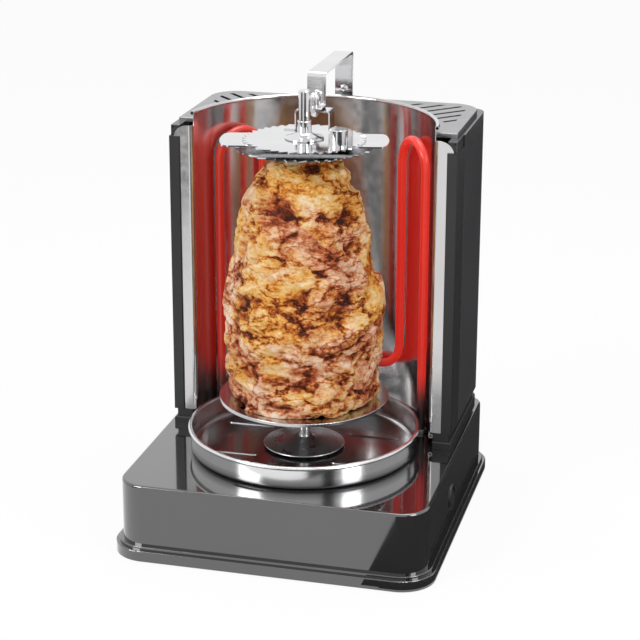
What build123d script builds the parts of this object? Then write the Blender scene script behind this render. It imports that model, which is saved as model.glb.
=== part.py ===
"""Upright electric skewer grill, in millimetres: +X right, +Y back, +Z up.

The origin is the centre of the base's footprint, on the table. A gloss base holds the
geared motor; behind the drip tray stands a tower whose curved mirror carries one
serpentine heater; a spit turns in front of it, steadied by a hanger on the tower's top.
"""
import math
import os
from build123d import *

os.makedirs("parts", exist_ok=True)

# ------------------------------------------------------------------ clearances
RUN = 0.06            # radial clearance of a shaft that turns in its bush
FREE = 0.3            # gap between pieces that move past each other
SEAT = 0.1            # gap of a piece dropped into its seat
EPS = 0.02            # lets a cut run past a face

# ------------------------------------------------------------------ base housing
BASE_SIDE, BASE_REAR = 5.75, 4.5            # from the tower's side and rear walls to the base's
BASE_TOP = 69.5       # height of the gloss top face
BASE_R = 24.5         # plan radius of the four corners
BASE_WALL = 2.6
BASE_EDGE = 2.2       # rounding of the top edge
SKIRT_LIFT = 1.0      # the skirt clears the table by this much
SKIRT_STEPS = ((6.5, 10.7), (3.6, 13.6))    # how far each step stands out, and its top
SKIRT_EDGE = 0.9
PLATE_T = 1.5         # bottom plate
PLATE_Z = 2.4         # underside of the bottom plate
BOSS_R, BOSS_IN = 5.0, 20.0                 # screw bosses, and their inset from the walls
FOOT_R, FOOT_IN = 9.0, 34.0
SCREW_R, SCREW_HEAD_R, SCREW_HEAD_T = 2.0, 3.8, 1.3
SCREW_BITE = 11.0     # length of a screw in its boss

# ------------------------------------------------------------------ tower
TOWER_SIDE, TOWER_REAR = 20.7, 32.2         # from the mirror's outside to the side and rear walls
TOWER_R = 14.0        # rear corner radius
CASING_H = 270.8
SHEET = 1.0           # casing sheet
FLANGE_W = 8.0        # the casing's inward flanges, top and bottom
PLINTH_H = 14.3
PLINTH_STEP = 6.6     # height of the plinth's wider lower step
PLINTH_INSET = 3.0
PLINTH_GAP = 3.4      # from the mirror to the plinth's round cut-out
JOGGLE = 1.5          # the casing's front edge steps in by this much under the posts
VENT_ROWS, VENT_PITCH, VENT_LENGTH, VENT_H = 7, 9.0, 52.0, 3.5
VENT_COLUMNS = (-66.0, 66.0)
VENT_DROP = 26.0      # from the casing's top to the first row
UNDER_ROWS, UNDER_PITCH = 5, 11.0           # air slots in the bottom plate, under the motor
BACK_SCREW_X, BACK_SCREW_IN, BACK_SCREW_RISE = 104.0, 20.0, 142.0

LID_LIP = 4.0         # the lid's turned-down edge stands on the casing's flange
LID_IN, LID_IN_BACK = 4.25, 1.5             # the lid stands in from the side and rear walls
LID_FRONT = 20.0
LID_R = 25.0
LID_T = 1.0
SLOT_COUNT, SLOT_PITCH, SLOT_W = 6, 14.3, 4.2
SLOT_START = -40.0    # first slot's distance from the corner diagonal
LID_EDGE, LID_MOUTH = 0.8, 10.0             # rounding, and depth of the cut-out for the arm's tongue
SLOT_MARGIN = 10.5    # from slot end to the lid's outline
SLOT_INNER = 9.0      # from slot end to the mirror's bead

POST_W, POST_D = 10.0, 32.0
POST_FRONT = 2.3
POST_GAP = 9.8        # from the post's top to the casing's top
POST_FACE, POST_WALL = 1.6, 1.4

# ------------------------------------------------------------------ mirror and heater
MIRROR_R = 110.8      # outer radius of the curved sheet
MIRROR_Y = -1.5       # Y of its axis
MIRROR_T = 0.8
MIRROR_BEND = 4.0     # outer bend radius into the front flanges
MIRROR_IN_POST = 3.9  # from the flange's edge to the tower's side
MIRROR_CORNER = 12.0
BEAD_R, BEAD_HOLE, BEAD_SINK = 2.0, 1.2, 0.35
BEAD_DROP, BEAD_RISE = 5.3, 6.6             # below the tower's foot, and above the lid

TUBE_R = 4.0
HEATER_GAP = 6.8      # from the tube's centre line to the mirror's outer radius
LEG_OUTER, LEG_INNER = 22.8, 50.5           # angles of the right-hand legs, from +X
HEATER_RISE = 271.0   # from the base's top to the crowns of the top bends
RUN_RISE = 45.8       # from the base's top to the low run behind the spit
RUN_BEND = 24.0
COLD_END = 13.5       # the heater's ends reach this far below the base's top
PIN_OUT, CONTACT_R = 9.0, 1.6               # the contact pins at the heater's ends
FERRULE_R, FERRULE_H, FERRULE_NECK = 7.0, 3.2, 6.0
CLIP_T, CLIP_W, CLIP_MOUTH = 1.0, 8.0, 1.2

# ------------------------------------------------------------------ tray and spit
SPIT_Y = -20.0
TRAY_GAP = 0.5        # from the rolled rim to the heater's ferrules, in plan
TRAY_RIM_R = 1.8
TRAY_LEAN = 2.4       # from the rim's edge to the wall's outer face
TRAY_H = 22.3
TRAY_T = 0.8
TRAY_FILLET = 4.0
TRAY_COLLAR_H = 3.2   # raised collar round the hole
RIB_Y, RIB_W, RIB_H = 34.5, 7.0, 1.0        # pressed ribs, measured from the tray's axis
RIB_IN, RIB_OUT = 34.0, 82.0

ROD_R = 5.1
ROD_CHAMFER = 1.1
ROD_RISE = 26.8       # above the lock collar
TIP_SIDE, TIP_DEPTH, TIP_CLEAR = 7.4, 12.0, 0.8
CONE_R, CONE_H, CONE_T, CONE_LIFT = 36.6, 7.4, 0.8, 2.3
DISH_R, DISH_RISE, DISH_T, DISH_LIP = 76.4, 51.0, 1.2, 2.8
MEAT_PROFILE = ((71.4, 0.02), (69.5, 0.16), (72.5, 0.34), (67.7, 0.48), (61.2, 0.59),
                (59.5, 0.67), (54.0, 0.77), (42.9, 0.86), (31.4, 0.94), (22.8, 1.0))
DISC_T = 1.2
TEETH, TOOTH_H = 40, 4.4
LOWER_DISC_R, LOWER_DISC_DROP = 60.7, 5.5   # the lower disc's underside is this far below the upper one's
UPPER_DISC_R = 54.0
UPPER_DISC_DROP = 3.8 # from the lid's top to the upper disc's underside
COLLAR_R, COLLAR_H, DOME_R, DOME_H, DOME_EDGE = 6.3, 11.4, 17.1, 4.5, 1.0

# ------------------------------------------------------------------ hanger
ARM_W, ARM_T, ARM_BEND = 16.8, 2.0, 3.0
ARM_RISE = 31.3       # from the bridge to the arm's top
ARM_FRONT = 43.4      # from the spit's axis to the front leg's rear face
ARM_REAR = 16.5       # from the tower's rear wall to the rear leg's rear face
TONGUE = 28.6         # length below the lid's top
ARM_SCREW_RISE, ARM_SCREW_H = 11.5, 2.2
POCKET_T, POCKET_EAR = 1.2, 10.0            # sheet of the tongue's pocket, and its rear ear
BAR_W, BAR_R, BAR_ANGLE, BAR_T, BAR_CORNER = 47.5, 73.5, 12.5, 1.4, 7.0
BRIDGE_W, BRIDGE_D, BRIDGE_H, BRIDGE_FOOT = 31.8, 17.0, 18.5, 10.4
BRIDGE_T, BRIDGE_BEND = 1.2, 1.4
PIN_OFF = 35.0        # from the spit's axis
PIN_R, PIN_HEAD_R, PIN_HEAD_H, PIN_END = 2.5, 4.0, 12.6, 1.5
NUT_R, NUT_H = 4.4, 4.2
KNOB_R, KNOB_H, KNOB_X, KNOB_OFF = 8.1, 14.6, 34.7, -17.5
BUSH_R, BUSH_DROP = 8.0, 3.0

# ------------------------------------------------------------------ drive and controls
COUPLER_R, COUPLER_H, COUPLER_SUNK = 8.0, 25.0, 0.9
BUSH_WALL, BUSH_LIP, BUSH_LIP_T = 2.5, 2.5, 0.6
SHAFT_R, SHAFT_GRIP = 3.5, 8.0              # motor shaft, and how deep it sits at either end
MOTOR_R, MOTOR_H, MOTOR_GAP = 24.5, 19.0, 3.0
MOTOR_EAR, MOTOR_EAR_R = 30.0, 5.0
SWITCH_Y, SWITCH_Z = -20.5, 34.0
SWITCH_R, SWITCH_RIM, SWITCH_PROUD, SWITCH_DEPTH = 9.6, 2.2, 1.2, 16.0
ROCKER_SINK, ROCKER_TILT, ROCKER_RIDGE, ROCKER_BACK = 1.0, 8.0, 0.95, 5.0
GLAND_X, GLAND_Z, GLAND_R = 88.0, 26.0, 7.0
GLAND_FLANGE, GLAND_NOSE, GLAND_BORE = 2.0, 3.4, 3.4
TERMINAL_Y, TERMINAL_W, TERMINAL_D, TERMINAL_H = 69.0, 44.0, 18.0, 16.0
WELL_R, WELL_DEPTH, WELL_PITCH, WELL_ROWS = 2.4, 8.0, 11.0, 8.0
CUTOUT_X, CUTOUT_Y, CUTOUT_R, CUTOUT_CAP_R, CUTOUT_H = 40.0, 60.0, 8.0, 5.0, 6.0
TAB_W, TAB_T, TAB_L = 6.4, 0.8, 7.0         # flat blades of the switch and the cut-out

# ------------------------------------------------------------------ worked out from these
TOWER_X, TOWER_BACK = MIRROR_R + TOWER_SIDE, MIRROR_Y + MIRROR_R + TOWER_REAR
BASE_X, BASE_Y = TOWER_X + BASE_SIDE, TOWER_BACK + BASE_REAR
ARM_BACK = TOWER_BACK - ARM_REAR
BASE_W, BASE_D = 2 * BASE_X, 2 * BASE_Y
INNER_TOP = BASE_TOP - BASE_WALL
PLATE_TOP = PLATE_Z + PLATE_T
TOWER_FOOT = BASE_TOP + PLINTH_H
CASING_TOP = TOWER_FOOT + CASING_H
LID_TOP = CASING_TOP + LID_LIP
POST_TOP = CASING_TOP - POST_GAP
POST_BACK = POST_FRONT + POST_D
MIRROR_IN = MIRROR_R - MIRROR_T
MIRROR_FLANGE = POST_FRONT + POST_FACE      # Y of the flanges' front faces
FLANGE_BACK = MIRROR_FLANGE + MIRROR_T
MIRROR_FLANGE_X = TOWER_X - MIRROR_IN_POST
BEAD_LOW, BEAD_HIGH = TOWER_FOOT - BEAD_DROP, LID_TOP + BEAD_RISE
HEATER_R = MIRROR_R - HEATER_GAP
LEG_X = HEATER_R * math.cos(math.radians(LEG_OUTER))
LEG_Y = MIRROR_Y + HEATER_R * math.sin(math.radians(LEG_OUTER))
TRAY_R = math.hypot(LEG_X, LEG_Y - SPIT_Y) - FERRULE_R - TRAY_GAP
TRAY_FLOOR = BASE_TOP + TRAY_T
TRAY_TOP = BASE_TOP + TRAY_H
TRAY_BASE_R = TRAY_R - TRAY_LEAN
CONE_RIM_Z = TRAY_FLOOR + CONE_LIFT
CONE_TOP_Z = CONE_RIM_Z + CONE_H
DISH_TOP = BASE_TOP + DISH_RISE
UPPER_DISC_Z = LID_TOP - UPPER_DISC_DROP
UPPER_DISC_TOP = UPPER_DISC_Z + DISC_T
LOWER_DISC_Z = UPPER_DISC_Z - LOWER_DISC_DROP
COLLAR_BOTTOM = UPPER_DISC_TOP + DOME_H
COLLAR_TOP = COLLAR_BOTTOM + COLLAR_H
ROD_TOP = COLLAR_TOP + ROD_RISE
BRIDGE_TOP = UPPER_DISC_TOP + BRIDGE_H
PIN_Y = SPIT_Y + PIN_OFF
COUPLER_HIGH = BASE_TOP - COUPLER_SUNK
COUPLER_LOW = COUPLER_HIGH - COUPLER_H
MOTOR_TOP = COUPLER_LOW - MOTOR_GAP
TIP_END = COUPLER_HIGH - TIP_DEPTH
BUSH_LIP_R = COUPLER_R + BUSH_WALL + BUSH_LIP
ROCKER_R = SWITCH_R - FREE
SIGNS = (-1, 1)
BOSSES = [(sx * (BASE_X - BOSS_IN), sy * (BASE_Y - BOSS_IN)) for sx in SIGNS for sy in SIGNS]
FEET = [(sx * (BASE_X - FOOT_IN), sy * (BASE_Y - FOOT_IN)) for sx in SIGNS for sy in SIGNS]
BACK_SCREWS = [(sx * BACK_SCREW_X, z) for sx in SIGNS
               for z in (TOWER_FOOT + BACK_SCREW_IN, TOWER_FOOT + BACK_SCREW_IN + BACK_SCREW_RISE)]


# ------------------------------------------------------------------ helpers
def save(node, shape):
    """Writes one named piece."""
    shape.label = node
    export_step(shape, f"parts/{node}.step")


def post(radius, low, high, x=0.0, y=0.0):
    """An upright cylinder between two heights."""
    return Pos(x, y, (low + high) / 2) * Cylinder(radius, high - low)


def block(x0, x1, y0, y1, z0, z1):
    """A box between two corners."""
    return Pos((x0 + x1) / 2, (y0 + y1) / 2, (z0 + z1) / 2) * Box(x1 - x0, y1 - y0, z1 - z0)


def slab(width, depth, radius, low, high):
    """A rounded rectangle about the origin, between two heights."""
    return Pos(0, 0, low) * extrude(RectangleRounded(width, depth, radius), high - low)


def turned(points, y=0.0):
    """A ring turned about the upright axis through (0, y), from (radius, height) points."""
    outline = Plane.XZ * make_face(Polyline(*points, close=True))
    return Pos(0, y, 0) * revolve(outline, Axis.Z)


def folded(points, across, width, thickness, bend):
    """A flat strip folded along a path; across is the direction of the fold lines."""
    path = FilletPolyline(*points, radius=bend)
    frame = Plane(origin=path @ 0, x_dir=across, z_dir=path % 0)
    return sweep(frame * Rectangle(width, thickness), path=path)


def both_sides(shape):
    """A right-hand piece and its mirror image."""
    return shape + mirror(shape, Plane.YZ)


def top_edges(shape):
    """The edges round a solid's highest face."""
    return shape.faces().sort_by(Axis.Z)[-1].edges()


# ------------------------------------------------------------------ base
def base_housing():
    """The moulded tub: rounded top edge, two-step skirt, open underneath."""
    body = slab(BASE_W, BASE_D, BASE_R, SKIRT_LIFT, BASE_TOP)
    body = fillet(top_edges(body), BASE_EDGE)
    for out, top in SKIRT_STEPS:
        step = slab(BASE_W + 2 * out, BASE_D + 2 * out, BASE_R + out, SKIRT_LIFT, top)
        body += fillet(top_edges(step), SKIRT_EDGE)
    body -= slab(BASE_W - 2 * BASE_WALL, BASE_D - 2 * BASE_WALL, BASE_R - BASE_WALL,
                 SKIRT_LIFT - EPS, INNER_TOP)
    for x, y in BOSSES:
        body += post(BOSS_R, PLATE_TOP, INNER_TOP + EPS, x, y)
        body -= post(SCREW_R + SEAT, PLATE_TOP - EPS, PLATE_TOP + SCREW_BITE + 3, x, y)
    for side in SIGNS:
        body += post(BOSS_R, MOTOR_TOP + PLATE_T, INNER_TOP + EPS, side * MOTOR_EAR, SPIT_Y)
        body -= post(SCREW_R + SEAT, MOTOR_TOP, MOTOR_TOP + SCREW_BITE + 3, side * MOTOR_EAR, SPIT_Y)
        body -= post(FERRULE_R - 2 + SEAT, INNER_TOP - EPS, BASE_TOP + EPS, side * LEG_X, LEG_Y)
    body -= post(COUPLER_R + BUSH_WALL + SEAT, INNER_TOP - EPS, BASE_TOP + EPS, 0, SPIT_Y)
    hole = Rot(0, 90, 0) * Cylinder(SWITCH_R + 0.8 + SEAT, 4 * BASE_WALL)
    body -= Pos(BASE_X, SWITCH_Y, SWITCH_Z) * hole
    body -= Pos(GLAND_X, BASE_Y, GLAND_Z) * (Rot(90, 0, 0) * Cylinder(GLAND_R - 2 + SEAT, 4 * BASE_WALL))
    return body


def base_plate():
    """The sheet that closes the tub from below, with holes for its screws and feet."""
    inset = 2 * (BASE_WALL + FREE)
    plate = slab(BASE_W - inset, BASE_D - inset, BASE_R - BASE_WALL - FREE, PLATE_Z, PLATE_TOP)
    for x, y in BOSSES:
        plate -= post(SCREW_R + SEAT, PLATE_Z - EPS, PLATE_TOP + EPS, x, y)
    for x, y in FEET:
        plate -= post(FOOT_R / 3 + SEAT, PLATE_Z - EPS, PLATE_TOP + EPS, x, y)
    for row in range(UNDER_ROWS):
        y = SPIT_Y + UNDER_PITCH * (row - (UNDER_ROWS - 1) / 2)
        plate -= Pos(0, y, PLATE_Z - EPS) * extrude(SlotOverall(VENT_LENGTH, VENT_H), PLATE_T + 2 * EPS)
    return plate


def rubber_feet():
    """Four push-in feet, each with a collar that snaps through the plate."""
    feet = []
    for x, y in FEET:
        pad = fillet(post(FOOT_R, 0, PLATE_Z, x, y).edges().sort_by(Axis.Z)[0], 0.6)
        feet.append(pad + post(FOOT_R / 3, PLATE_Z, PLATE_TOP + 0.8, x, y))
    return Compound(children=feet)


def base_screws():
    """Four screws that hold the bottom plate to the bosses."""
    low = PLATE_Z - SCREW_HEAD_T
    screws = [post(SCREW_HEAD_R, low, PLATE_Z, x, y) + post(SCREW_R, PLATE_Z, PLATE_TOP + SCREW_BITE, x, y)
              for x, y in BOSSES]
    return Compound(children=screws)


def drive_bush():
    """Flanged plastic bush in the base's top, round the coupler."""
    bore, wall, low, high = COUPLER_R + RUN, COUPLER_R + BUSH_WALL, INNER_TOP - 3, BASE_TOP + BUSH_LIP_T
    return turned([(bore, low), (wall, low), (wall, BASE_TOP), (BUSH_LIP_R, BASE_TOP),
                   (BUSH_LIP_R, high), (bore, high)], SPIT_Y)


def drive_motor():
    """Flat synchronous motor with its gearbox, two ears and a bore for the shaft."""
    can = post(MOTOR_R, MOTOR_TOP - MOTOR_H, MOTOR_TOP, 0, SPIT_Y)
    can = fillet(can.edges().filter_by(GeomType.CIRCLE), 1.2)
    ears = slab(2 * (MOTOR_EAR + MOTOR_EAR_R), 2 * MOTOR_EAR_R, MOTOR_EAR_R - EPS,
                MOTOR_TOP, MOTOR_TOP + PLATE_T)
    ears = Pos(0, SPIT_Y, 0) * ears
    for side in SIGNS:
        ears -= post(SCREW_R + SEAT, MOTOR_TOP - EPS, MOTOR_TOP + PLATE_T + EPS,
                     side * MOTOR_EAR, SPIT_Y)
    return can + ears - post(SHAFT_R + RUN, MOTOR_TOP - SHAFT_GRIP - FREE, COUPLER_LOW, 0, SPIT_Y)


def motor_screws():
    """Two screws that hold the motor's ears to the bosses above it."""
    screws = [post(SCREW_HEAD_R, MOTOR_TOP - SCREW_HEAD_T, MOTOR_TOP, side * MOTOR_EAR, SPIT_Y)
              + post(SCREW_R, MOTOR_TOP, MOTOR_TOP + SCREW_BITE, side * MOTOR_EAR, SPIT_Y) for side in SIGNS]
    return Compound(children=screws)


def drive_shaft():
    """Shaft from the motor's gearbox into the coupler."""
    return post(SHAFT_R, MOTOR_TOP - SHAFT_GRIP, COUPLER_LOW + SHAFT_GRIP, 0, SPIT_Y)


def drive_coupler():
    """Turned sleeve on the motor shaft, with a square socket for the spit's tip."""
    body = post(COUPLER_R, COUPLER_LOW, COUPLER_HIGH, 0, SPIT_Y)
    body -= post(SHAFT_R, COUPLER_LOW - EPS, COUPLER_LOW + SHAFT_GRIP + FREE, 0, SPIT_Y)
    side = TIP_SIDE + 2 * FREE
    half = side / 2
    body -= block(-half, half, SPIT_Y - half, SPIT_Y + half, TIP_END - TIP_CLEAR, COUPLER_HIGH + EPS)
    return chamfer(body.edges().sort_by(Axis.Z)[-8:].filter_by(GeomType.CIRCLE), 0.8)


def switch_housing():
    """Round bezel on the base's right wall with the switch body behind it."""
    rim = Rot(0, 90, 0) * Cylinder(SWITCH_R + SWITCH_RIM, SWITCH_PROUD)
    rim = Pos(BASE_X + SWITCH_PROUD / 2, SWITCH_Y, SWITCH_Z) * rim
    rim = fillet(rim.edges().sort_by(Axis.X)[-1], 0.7)
    body = Rot(0, 90, 0) * Cylinder(SWITCH_R + 0.8, SWITCH_DEPTH)
    body = Pos(BASE_X - SWITCH_DEPTH / 2, SWITCH_Y, SWITCH_Z) * body
    bore = Rot(0, 90, 0) * Cylinder(SWITCH_R, SWITCH_DEPTH - 3)
    bore = Pos(BASE_X + SWITCH_PROUD + EPS - (SWITCH_DEPTH - 3) / 2, SWITCH_Y, SWITCH_Z) * bore
    body += rim - bore
    for side in SIGNS:
        blade = Box(TAB_L, TAB_W, TAB_T)
        body += Pos(BASE_X - SWITCH_DEPTH - TAB_L / 2 + EPS, SWITCH_Y, SWITCH_Z + side * SWITCH_R / 2) * blade
    return body - bore


def switch_rocker():
    """Ball-sided rocker: its face is a shallow V, and the upper half is pressed in."""
    size = 4 * ROCKER_R
    ball = Pos(BASE_X - ROCKER_SINK, SWITCH_Y, SWITCH_Z) * Sphere(ROCKER_R)
    ball -= Pos(BASE_X - ROCKER_SINK - size / 2 - ROCKER_BACK, SWITCH_Y, SWITCH_Z) * Box(size, size, size)
    outside = Pos(size / 2, 0, 0) * Box(size, size, size)
    ridge = Pos(BASE_X + ROCKER_RIDGE, SWITCH_Y, SWITCH_Z)
    return ball - ridge * outside - ridge * (Rot(0, -2 * ROCKER_TILT, 0) * outside)


def cord_gland():
    """Moulded cord entry on the rear wall: a flanged bush with its bore."""
    tip = GLAND_FLANGE + GLAND_NOSE
    outline = [(GLAND_BORE, -2 * BASE_WALL), (GLAND_R - 2, -2 * BASE_WALL), (GLAND_R - 2, 0), (GLAND_R, 0),
               (GLAND_R, GLAND_FLANGE), (GLAND_R - 0.8, GLAND_FLANGE), (GLAND_R - 2.4, tip),
               (GLAND_BORE, tip)]
    return Pos(GLAND_X, BASE_Y, GLAND_Z) * (Rot(-90, 0, 0) * turned(outline))


def terminal_block():
    """Ceramic terminal block on the bottom plate, behind the motor: two rows of four wells."""
    top = PLATE_TOP + TERMINAL_H
    body = block(-TERMINAL_W / 2, TERMINAL_W / 2, TERMINAL_Y - TERMINAL_D / 2, TERMINAL_Y + TERMINAL_D / 2,
                 PLATE_TOP, top)
    wells = GridLocations(WELL_PITCH, WELL_ROWS, 4, 2)
    return body - [Pos(0, TERMINAL_Y, top - WELL_DEPTH / 2) * w * Cylinder(WELL_R, WELL_DEPTH) for w in wells]


def thermal_cutout():
    """Disc thermostat held against the base's top between the heater's ends."""
    low = INNER_TOP - CUTOUT_H
    disc = post(CUTOUT_R, low, INNER_TOP) + post(CUTOUT_CAP_R, low - CUTOUT_H / 2, low)
    for side in SIGNS:
        blade = Pos(side * CUTOUT_R, 0, low - TAB_L / 2 + TAB_T) * Box(TAB_W, TAB_T, TAB_L)
        disc += blade
    return Pos(CUTOUT_X, CUTOUT_Y, 0) * disc


# ------------------------------------------------------------------ tower
def tower_plan(inset, front):
    """The tower's outline in plan: square in front, rounded at the rear corners."""
    wide, back, r = TOWER_X - inset, TOWER_BACK - inset, TOWER_R - inset
    outline = Polyline((-wide, front), (wide, front), (wide, back), (-wide, back), close=True)
    face = make_face(outline)
    return fillet(face.vertices().sort_by(Axis.Y)[-2:], r)


def tower_block(inset, front, low, high):
    return Pos(0, 0, low) * extrude(tower_plan(inset, front), high - low)


def tower_plinth():
    """Black foot of the tower: a wider step, a narrower one, open where the mirror hangs."""
    step = BASE_TOP + PLINTH_STEP
    body = tower_block(0.6, POST_FRONT - 1, BASE_TOP, step)
    body = chamfer(top_edges(body), 1.0)
    body += tower_block(PLINTH_INSET, POST_FRONT + 1, step - EPS, TOWER_FOOT)
    return body - post(MIRROR_R + PLINTH_GAP, BASE_TOP - EPS, TOWER_FOOT + EPS, 0, MIRROR_Y)


def tower_casing():
    """Folded sheet: two sides and the rear wall, inward flanges, joggled front edges, vents."""
    def shell(inset, front, low, high):
        outer = tower_block(inset, front, low, high)
        inner = tower_block(inset + SHEET, front - 1, low + SHEET, high - SHEET)
        mouth = tower_block(inset + FLANGE_W, front - 1, low - EPS, high + EPS)
        return outer - inner - mouth
    body = shell(0, POST_BACK, TOWER_FOOT, CASING_TOP)
    lip = shell(JOGGLE, FLANGE_BACK + SEAT, TOWER_FOOT, CASING_TOP)
    body += lip & block(-TOWER_X, TOWER_X, FLANGE_BACK, POST_BACK + SHEET, TOWER_FOOT, CASING_TOP)
    for x in VENT_COLUMNS:
        for row in range(VENT_ROWS):
            slot = extrude(Plane.XZ * SlotOverall(VENT_LENGTH, VENT_H), 4, both=True)
            body -= Pos(x, TOWER_BACK, CASING_TOP - VENT_DROP - VENT_PITCH * row) * slot
    for x, z in BACK_SCREWS:
        body -= Pos(x, TOWER_BACK, z) * (Rot(90, 0, 0) * Cylinder(SCREW_R + SEAT, 4))
    return body


def lid_outline(inset, low, high):
    """The lid's plan between two heights, rounded at the rear corners."""
    wide, front, back = TOWER_X - LID_IN - inset, LID_FRONT + inset, TOWER_BACK - LID_IN_BACK - inset
    face = make_face(Polyline((-wide, front), (wide, front), (wide, back), (-wide, back), close=True))
    face = fillet(face.vertices().sort_by(Axis.Y)[-2:], LID_R - inset)
    return Pos(0, 0, low) * extrude(face, high - low)


def lid_slots():
    """Slanted vent slots in the right rear corner, trimmed to the lid and clear of the mirror."""
    field = lid_outline(SLOT_MARGIN, CASING_TOP, LID_TOP + EPS)
    field -= post(MIRROR_R + 2 * BEAD_R + SLOT_INNER, CASING_TOP - EPS, LID_TOP + LID_T, 0, MIRROR_Y)
    slots = None
    for i in range(SLOT_COUNT):
        off = SLOT_START + SLOT_PITCH * i
        bar = Rot(0, 0, 45) * Pos(TOWER_X, -off, LID_TOP) * Box(2 * TOWER_X, SLOT_W, 2 * LID_LIP)
        cut = bar & field
        slots = cut if slots is None else slots + cut
    return slots


def top_plate():
    """Satin lid with a turned-down lip, cut round the mirror, vented at both rear corners."""
    body = lid_outline(0, LID_TOP - LID_LIP, LID_TOP)
    body = fillet(top_edges(body), LID_EDGE)
    body -= lid_outline(LID_T, LID_TOP - LID_LIP - EPS, LID_TOP - LID_T)
    body -= post(MIRROR_R + SEAT, CASING_TOP - 1, LID_TOP + 1, 0, MIRROR_Y)
    slots = lid_slots()
    body = body - slots - mirror(slots, Plane.YZ)
    half = ARM_W / 2 + 2 * FREE
    return body - block(-half, half, ARM_BACK - ARM_T - LID_MOUTH, ARM_BACK + FREE, CASING_TOP, LID_TOP + 1)


def reflector():
    """Mirror sheet bent to a half round, with two front flanges and two open rolled beads."""
    front = MIRROR_FLANGE + MIRROR_BEND + 0.6
    start = math.degrees(math.asin((front - MIRROR_Y) / MIRROR_R))
    middle = (MIRROR_R + MIRROR_IN) / 2
    section = Pos(middle, (BEAD_LOW + BEAD_HIGH) / 2) * Rectangle(MIRROR_T, BEAD_HIGH - BEAD_LOW - BEAD_R)
    for height in (BEAD_LOW, BEAD_HIGH):
        section += Pos(MIRROR_IN + BEAD_R - BEAD_SINK, height) * (Circle(BEAD_R) - Circle(BEAD_HOLE))
    body = Pos(0, MIRROR_Y, 0) * (Rot(0, 0, start) * revolve(Plane.XZ * section, Axis.Z, 180 - 2 * start))

    edge_x = math.sqrt(MIRROR_R ** 2 - (FLANGE_BACK - MIRROR_Y) ** 2)
    span = MIRROR_FLANGE_X - edge_x + MIRROR_T / 2
    overlap = 2.0
    window = Pos(MIRROR_R, (MIRROR_FLANGE + front + overlap) / 2) * Rectangle(
        MIRROR_R, front + overlap - MIRROR_FLANGE)
    fold = (Pos(0, MIRROR_Y) * (Circle(MIRROR_R) - Circle(MIRROR_IN))) & window
    fold += Pos(MIRROR_FLANGE_X - span / 2, MIRROR_FLANGE + MIRROR_T / 2) * Rectangle(span, MIRROR_T)
    for y, radius in ((MIRROR_FLANGE, MIRROR_BEND), (FLANGE_BACK, MIRROR_BEND - MIRROR_T)):
        bends = [v for v in fold.vertices() if abs(v.Y - y) < 0.05 and v.X < MIRROR_R + 1]
        fold = fillet(bends, radius)
    fold = Pos(0, 0, TOWER_FOOT) * extrude(fold, CASING_H)
    corner = [e for e in fold.edges().filter_by(Axis.Y)
              if abs(e.center().X - MIRROR_FLANGE_X) < 0.05 and e.center().Z > CASING_TOP - 1]
    return body + both_sides(fillet(corner, MIRROR_CORNER))


def side_post():
    """Right-hand black edge strip: a channel that clips over the flange and the casing's lip."""
    x0, x1 = TOWER_X - POST_W, TOWER_X
    body = block(x0, x1, POST_FRONT, POST_BACK, TOWER_FOOT, POST_TOP)
    upright = [e for e in body.edges().filter_by(Axis.Z) if abs(e.center().Y - POST_FRONT) < 0.05]
    body = fillet(upright, 1.1)
    body -= block(x0 + POST_WALL, x1 - POST_WALL, MIRROR_FLANGE, POST_BACK + 1,
                  TOWER_FOOT - 1, POST_TOP - POST_WALL)
    body -= block(x0 - 1, x0 + POST_WALL + EPS, MIRROR_FLANGE, POST_BACK + 1,
                  TOWER_FOOT - 1, POST_TOP + 1)
    body -= block(x0, MIRROR_FLANGE_X + SEAT, MIRROR_FLANGE, FLANGE_BACK + SEAT, POST_TOP - 3, POST_TOP + 1)
    return body - block(x1 - JOGGLE - SHEET - SEAT, x1 - POST_WALL, FLANGE_BACK, POST_BACK + 1,
                        POST_TOP - 3, POST_TOP + 1)


def post_cap():
    """Right-hand black end piece between the post and the lid."""
    body = block(TOWER_X - POST_W + 0.8, TOWER_X - JOGGLE - SHEET - SEAT, FLANGE_BACK + SEAT, POST_BACK,
                 POST_TOP, CASING_TOP - SHEET - SEAT)
    edge = [e for e in body.edges().filter_by(Axis.Y)
            if e.center().X > TOWER_X - 6 and e.center().Z > POST_TOP + 2]
    return fillet(edge, 3.0)


# ------------------------------------------------------------------ heater
def on_mirror(angle, radius, z):
    a = math.radians(angle)
    return (radius * math.cos(a), MIRROR_Y + radius * math.sin(a), z)


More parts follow.
